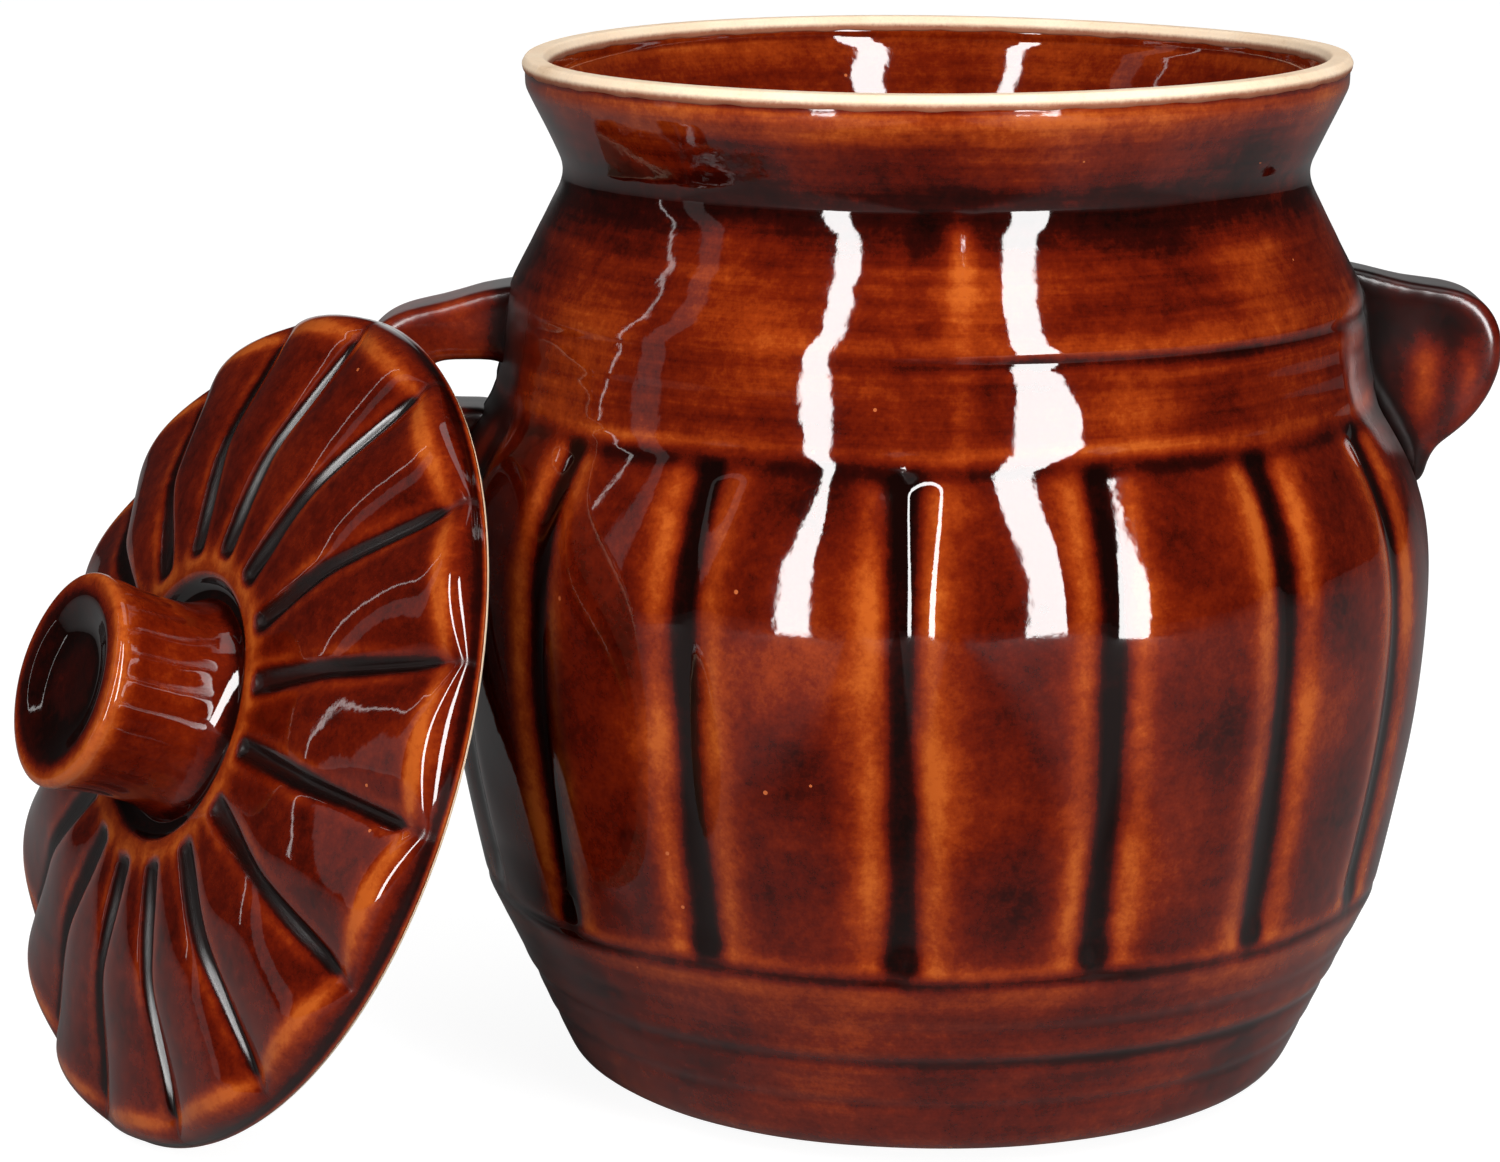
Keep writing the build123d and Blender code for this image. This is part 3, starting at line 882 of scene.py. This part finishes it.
def lid_pooling(angle, radius, height):
    """Glaze pooled dark in the valleys, thin beside them, round the hub and on the roll."""
    aside, half = valley_place(angle, radius)
    uneven = waves(angle, radius, *VALLEY_GLAZE_WAVES)
    off = np.hypot(aside, np.maximum(34.5 - radius, 0) * 1.3)
    along = zone(radius, (29, 34), (82.5, 85.5))
    dark = VALLEY_DARK * bell(off, half + 0.3 * uneven, 3.5) * along
    thin = (PETAL_THIN + 0.1 * uneven) * bell(off - half - 1.7, 1.3) * along
    hub = HUB_THIN * bell(radius - 32.0, 3.2)
    roll = (ROLL_THIN + 0.05 * uneven) * bell(radius - 85.8, 2.0) * step_up(height, 7.6, 9.2)
    skirt = 0.24 * step_down(height, 4.2, 8.0) + 0.25 * step_down(height, 3.2, 4.8)
    moat = 0.5 * bell(radius - 25.8, 2.2) + 0.3 * bell(height - 17.5, 1.5) * (radius < 29)
    return dark - thin - hub - roll + skirt + moat


def build_lid(material):
    """The lid's plate: petals on top, a plain skirt round the edge and a shallow hollow below."""
    profile = np.concatenate([rounded(LID_UNDER)[:-1], smooth_curve(LID_ROLL)[:-1], rounded(LID_HUB)])
    profile = even(profile, LID_STEP)
    normals = profile_normals(profile)
    angle = angle_grid(LID_COLUMNS)
    radius, height = profile[:, :1], profile[:, 1:]
    on_top = (np.arange(len(profile)) > int(np.argmax(profile[:, 0])) - 2)[:, None]
    uneven = waves(angle, radius, *PETAL_WAVES) * (1 - 0.75 * step_up(radius, 66, 84))
    depth = lid_relief(angle, radius) + (LID_DEPTH + uneven) * step_up(radius, 20, 40)
    new_radius = radius - depth * on_top * normals[:, :1]
    new_height = height - depth * on_top * normals[:, 1:] - lid_scallop(angle, radius, height) * on_top
    grid = lean_round(new_radius, angle, new_height)
    piece = lathe("lid_plate_petals", grid)
    pooled = hollow_tone(LID_TONE, *grid_pooling(grid)) + lid_pooling(angle, radius, height) * on_top
    paint(piece, "pooled", pooled.clip(0, 1))
    paint(piece, "streaky", 0.15 + 0 * pooled)
    aside, half = valley_place(angle, radius)
    paint(piece, "matt", VALLEY_MATT * bell(aside, half, 4) * on_top * step_up(radius, 30, 34))
    return dress(piece, material, "lid", ["lid_plate"])


def knob_pooling_and_light(angle, radius, height, in_dish):
    """Glaze pooled in the knob's dish and round its base, thin on its rim, and painted light on the rim's
    front side.
    """
    dish = in_dish * step_up(20.4 - 1.1 * np.cos(angle) - radius, 0, 3.5)
    rim = bell(radius - 21.8, 2.2) * step_up(height, 40.5, 43.5)
    pooled = (0.5 - 0.2 * step_down(radius, 5, 13)) * dish
    # Thin glaze all round the rim, plus painted light on the side that faces the front
    pooled = pooled - (0.12 + 0.22 * np.cos(angle + 0.3)) * rim
    return pooled + 0.5 * step_down(height, 17.5, 21.5)


def build_knob(material):
    """The waisted knob with its dished top."""
    profile = np.concatenate([np.array(KNOB_BASE), smooth_curve(KNOB_POINTS)[:-1], rounded(KNOB_TOP)])
    profile = even(profile, KNOB_STEP)
    normals = profile_normals(profile)
    angle = angle_grid(KNOB_COLUMNS)
    radius, height = profile[:, :1], profile[:, 1:]
    depth = (KNOB_DEPTH + waves(angle, height, *KNOB_WAVES)) * step_up(radius, 3, 12)
    grid = lean_round(radius - depth * normals[:, :1], angle, height - depth * normals[:, 1:])
    piece = lathe("lid_knob_waisted", grid)
    in_dish = (np.arange(len(profile)) > int(np.argmax(profile[:, 1])))[:, None]
    pooled = hollow_tone(KNOB_TONE, *grid_pooling(grid, fine=10))
    pooled = pooled + knob_pooling_and_light(angle, radius, height, in_dish)
    paint(piece, "pooled", pooled.clip(0, 1))
    paint(piece, "streaky", 0.1 + 0 * pooled)
    return dress(piece, material, "lid", ["lid_knob"])


def evaluated(piece):
    """A piece's mesh with its modifiers applied."""
    graph = bpy.context.evaluated_depsgraph_get()
    mesh = bpy.data.meshes.new_from_object(piece.evaluated_get(graph))
    piece.modifiers.clear()
    piece.data = mesh
    return mesh


def prism(name, outline, half):
    """A closed slab of the outline in the X-Z plane, half to each side of Y = 0."""
    count = len(outline)
    points = [(x * MM, y * MM, z * MM) for y in (-half, half) for x, z in outline]
    faces = [list(range(count)), list(range(2 * count - 1, count - 1, -1))]
    faces += [(i, i + count, (i + 1) % count + count, (i + 1) % count) for i in range(count)]
    mesh = bpy.data.meshes.new(name)
    mesh.from_pydata(points, [], faces)
    shape = bmesh.new()
    shape.from_mesh(mesh)
    bmesh.ops.recalc_face_normals(shape, faces=shape.faces)
    shape.to_mesh(mesh)
    shape.free()
    piece = bpy.data.objects.new(name, mesh)
    bpy.context.scene.collection.objects.link(piece)
    return piece


def read_points(mesh, name):
    """The mesh's points or their normals, one row each."""
    values = np.empty(len(mesh.vertices) * 3)
    mesh.vertices.foreach_get(name, values)
    return values.reshape(-1, 3)


def move_points(mesh, place):
    """Puts the mesh's points at places given in millimetres."""
    mesh.vertices.foreach_set("co", (place * MM).reshape(-1))
    mesh.update()


def near_average(mesh, values, passes):
    """Values averaged over each point's neighbours, many times."""
    edges = np.empty(len(mesh.edges) * 2, dtype=np.int64)
    mesh.edges.foreach_get("vertices", edges)
    a, b = edges.reshape(-1, 2).T
    points = len(values)
    count = np.bincount(a, minlength=points) + np.bincount(b, minlength=points)
    for _ in range(passes):
        total = np.zeros_like(values)
        for axis in range(values.shape[1]):
            column = values[:, axis]
            total[:, axis] = np.bincount(a, column[b], points) + np.bincount(b, column[a], points)
        values = 0.5 * values + 0.5 * total / np.maximum(count, 1)[:, None]
    return values


def ear_hole():
    """Points round the slot through the left ear, as (radius, height)."""
    middle, height, reach, half = EAR_HOLE
    arc = np.linspace(-pi / 2, pi / 2, 12)
    return [
        (middle + end * (reach / 2 + half * cos(t)), height + end * half * sin(t))
        for end in (1, -1) for t in arc
    ]


def ear_blank(name, side, points, pierced):
    """The ear's slab from inside the crock's wall outward, with its slot if it is pierced."""
    heights = np.linspace(points[-1][1] - EAR_ROOT_OVERRUN, points[0][1] + EAR_ROOT_OVERRUN, 12)
    root = [(float(outer_radius(z)) - EAR_ROOT_DEPTH, float(z)) for z in heights]
    outline = [(side * x, z) for x, z in smooth_curve(points, 50).tolist() + root]
    piece = prism(name, outline, EAR_WIDTH / 2)
    if pierced:
        cutter = prism("ear_hole_cutter", [(side * x, z) for x, z in ear_hole()], EAR_WIDTH)
        cut = piece.modifiers.new("hole", "BOOLEAN")
        cut.operation, cut.object, cut.solver = "DIFFERENCE", cutter, "EXACT"
        evaluated(piece)
        bpy.data.objects.remove(cutter)
    return piece


def ear_pooling(mesh, place, normal, tone):
    """Glaze depth from the ear's level and its hollows."""
    near = near_average(mesh, place, 14)
    far = near_average(mesh, near, 60)
    return hollow_tone(tone, ((near - place) * normal).sum(axis=1), ((far - place) * normal).sum(axis=1))


def build_ear(name, side, points, node, material, pierced):
    """A rounded ear on the shoulder, pierced by a slot or closed and swelling to its tip."""
    piece = ear_blank(name, side, points, pierced)
    remesh = piece.modifiers.new("remesh", "REMESH")
    remesh.mode, remesh.voxel_size = "VOXEL", EAR_VOXEL * MM
    mesh = evaluated(piece)
    place = near_average(mesh, read_points(mesh, "co") / MM, EAR_SMOOTHING)
    move_points(mesh, place)
    away = np.hypot(place[:, 0], place[:, 1]) - outer_radius(place[:, 2])
    place = place + EAR_GROWTH * read_points(mesh, "normal")
    if not pierced:
        middle, slope = EAR_SWELL
        place[:, 1] += np.clip(place[:, 1] / 7, -1, 1) * slope * (side * place[:, 0] - middle)
    place[:, 1] += 0.12 * np.sin(place[:, 2] / 5) * np.sin(place[:, 0] / 4)
    move_points(mesh, place)
    normal = read_points(mesh, "normal")
    x, z = place[:, 0], place[:, 2]
    pooled = ear_pooling(mesh, place, normal, PIERCED_EAR_TONE if pierced else CLOSED_EAR_TONE)
    pooled = pooled + 0.5 * bell(np.maximum(away, 0), 2.6) + 0.05 * np.sin(x / 2.3 + z / 4)
    if not pierced:
        pooled = pooled + 0.2 * step_up(z, 160, 168)
        for radius, height, wide, tall, thinness in EAR_PATCHES:
            pooled = pooled - thinness * bell(side * x - radius, wide) * bell(z - height, tall)
    paint(piece, "pooled", pooled.clip(0, 1))
    paint(piece, "streaky", 0.1 + 0 * pooled)
    on_sides, on_top = EAR_MATT
    paint(piece, "matt", on_sides + (on_top - on_sides) * step_up(normal[:, 2], 0.15, 0.7))
    mesh.shade_smooth()
    return dress(piece, material, "pot", [node])


def add_camera():
    data = bpy.data.cameras.new("camera")
    data.sensor_width, data.lens = CAMERA_SENSOR, CAMERA_FOCAL
    camera = bpy.data.objects.new("camera", data)
    camera.location = [value * MM for value in CAMERA_PLACE]
    camera.rotation_euler = (radians(90 - CAMERA_PITCH_DOWN), 0, 0)
    bpy.context.scene.collection.objects.link(camera)
    bpy.context.scene.camera = camera


def strip_light(name, azimuth, wide, low, high, brightness):
    """An upright strip light seen from the crock over the given angles, with the given brightness."""
    bottom, top = (STRIP_DISTANCE * tan(radians(angle)) + STRIP_BASE for angle in (low, high))
    data = bpy.data.lights.new(name, "AREA")
    data.shape = "RECTANGLE"
    data.size, data.size_y = 2 * STRIP_DISTANCE * tan(radians(wide / 2)), top - bottom
    data.energy = brightness * pi * data.size * data.size_y
    light = bpy.data.objects.new(name, data)
    turn = radians(azimuth)
    light.location = (STRIP_DISTANCE * sin(turn), -STRIP_DISTANCE * cos(turn), (top + bottom) / 2)
    light.rotation_euler = (pi / 2, 0, turn)
    bpy.context.scene.collection.objects.link(light)


def top_light():
    """A square soft light above that faces the crock."""
    data = bpy.data.lights.new("top_soft", "AREA")
    data.size = TOP_LIGHT_SIZE
    data.energy = TOP_LIGHT_BRIGHTNESS * pi * TOP_LIGHT_SIZE * TOP_LIGHT_SIZE
    light = bpy.data.objects.new("top_soft", data)
    light.location = TOP_LIGHT_PLACE
    aim = Vector(TOP_LIGHT_AIM) - Vector(TOP_LIGHT_PLACE)
    light.rotation_euler = aim.to_track_quat("-Z", "Y").to_euler()
    bpy.context.scene.collection.objects.link(light)


def map_range(tree, value, **limits):
    """A value between the limits from_min and from_max, brought between to_min and to_max."""
    inputs = {key.replace("_", " ").title(): limit for key, limit in limits.items()}
    return make(tree, "ShaderNodeMapRange", {"Value": value, **inputs}).outputs[0]


def parts_of(tree, kind):
    """The X, Y and Z parts of a texture coordinate."""
    place = make(tree, "ShaderNodeTexCoord").outputs[kind]
    return make(tree, "ShaderNodeSeparateXYZ", {0: place}).outputs


def add_world():
    """White behind the object for the camera and for reflections, a dim room in front, and an even fill."""
    world = bpy.data.worlds.new("studio")
    world.use_nodes = True
    bpy.context.scene.world = world
    tree = world.node_tree
    path = make(tree, "ShaderNodeLightPath")
    ahead = parts_of(tree, "Generated")["Y"]
    behind = map_range(tree, ahead, from_min=0.94, from_max=1.0, to_min=0.02, to_max=0.8)
    seen = calculate(tree, "MAXIMUM", path.outputs["Is Glossy Ray"], path.outputs["Is Transmission Ray"])
    mirrored = mix_values(tree, seen, ROOM_FILL, behind)
    strength = mix_values(tree, path.outputs["Is Camera Ray"], mirrored, 1.0)
    background = tree.nodes["Background"]
    background.inputs["Color"].default_value = (1, 1, 1, 1)
    tree.links.new(strength, background.inputs["Strength"])


def add_floor():
    """Pale floor that stays white for the camera outside the shadow."""
    bpy.ops.mesh.primitive_plane_add(size=FLOOR_SIZE, location=(0, 0, -FLOOR_DROP))
    floor = bpy.context.object
    floor.name = "studio_floor"
    material, tree, shader = new_material("floor_pale")
    parts = parts_of(tree, "Object")
    aside = calculate(tree, "ABSOLUTE", calculate(tree, "ADD", parts["X"], 0.02))
    sides = map_range(tree, aside, from_min=0.10, from_max=0.16)
    ahead = map_range(tree, parts["Y"], from_min=-0.22, from_max=-0.08)
    pale = calculate(tree, "MAXIMUM", calculate(tree, "MULTIPLY", sides, 0.7), ahead)
    tree.links.new(colour_ramp(tree, pale, FLOOR_COLOURS), shader.inputs["Base Color"])
    shader.inputs["Roughness"].default_value = 0.9
    shader.inputs["Specular IOR Level"].default_value = 0.0
    path = make(tree, "ShaderNodeLightPath")
    lift = map_range(tree, pale, to_min=0.98, to_max=0.92)
    lift = calculate(tree, "MULTIPLY", path.outputs["Is Camera Ray"], lift)
    shader.inputs["Emission Color"].default_value = (1, 1, 1, 1)
    tree.links.new(lift, shader.inputs["Emission Strength"])
    floor.data.materials.append(material)


add_camera()
for strip in STRIPS:
    strip_light(*strip)
top_light()
add_world()
add_floor()

brown_glaze = glaze_material()
bare_clay = clay_material()
build_crock(brown_glaze)
build_foot(bare_clay)
build_ring(
    "crock_lip", LIP_CORNERS, stand_round, LIP_STEP, LIP_COLUMNS, bare_clay, "bare_clay", "pot", ["lip_ring"],
    dip=lip_wave, stain=lip_stain,
)
build_ear("ear_right", 1, RIGHT_EAR, "handle_right", brown_glaze, False)
build_ear("ear_left", -1, LEFT_EAR, "handle_left", brown_glaze, True)
build_lid(brown_glaze)
build_knob(brown_glaze)
build_ring(
    "lid_seat", SEAT_CORNERS, lean_round, SEAT_STEP, RING_COLUMNS,
    bare_clay, "bare_clay", "lid", ["lid_seat_ring"],
)
build_ring(
    "lid_collar", COLLAR_CORNERS, lean_round, COLLAR_STEP, RING_COLUMNS,
    brown_glaze, "brown_glaze", "lid", ["lid_locating_ring"],
)

bpy.context.scene.view_settings.view_transform = "Standard"
